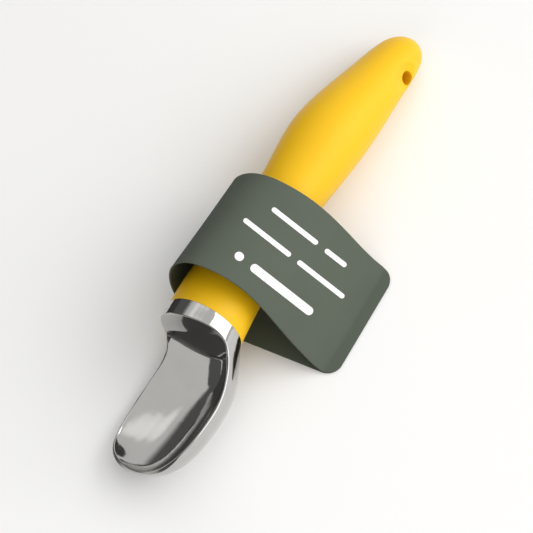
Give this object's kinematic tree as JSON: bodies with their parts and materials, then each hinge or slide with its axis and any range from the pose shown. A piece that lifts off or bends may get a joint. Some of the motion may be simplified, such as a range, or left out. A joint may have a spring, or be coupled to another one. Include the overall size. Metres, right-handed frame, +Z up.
{
  "type": "ice cream scoop",
  "caption": "Ice cream scoop with a one-piece cast metal bowl and collar, a rounded moulded handle with a hang hole, and a folded card sleeve looped round the handle.",
  "frame": {"origin": "on the counter, under the middle of the whole part", "axes": "+X along the handle towards the bowl, +Z up; the bowl's mouth faces up and to -Y"},
  "size_m": [0.1914, 0.0612, 0.0451],
  "materials": {
    "polished_metal": "polished",
    "core_plastic": "moulded",
    "yellow_grip": "satin moulded soft-touch",
    "green_card": "matt printed board",
    "glue": "dried adhesive"
  },
  "bodies": {
    "scoop": {"scoop_head": "polished_metal", "handle_core": "core_plastic", "handle_grip": "yellow_grip"},
    "sleeve": {"card_sleeve": "green_card", "glue_strip": "glue"}
  },
  "joints": [
    {"name": "sleeve_slide", "type": "slide", "parent": "scoop", "child": "sleeve", "axis": [-1, 0, 0], "range_m": [0, 0.135]}
  ]
}
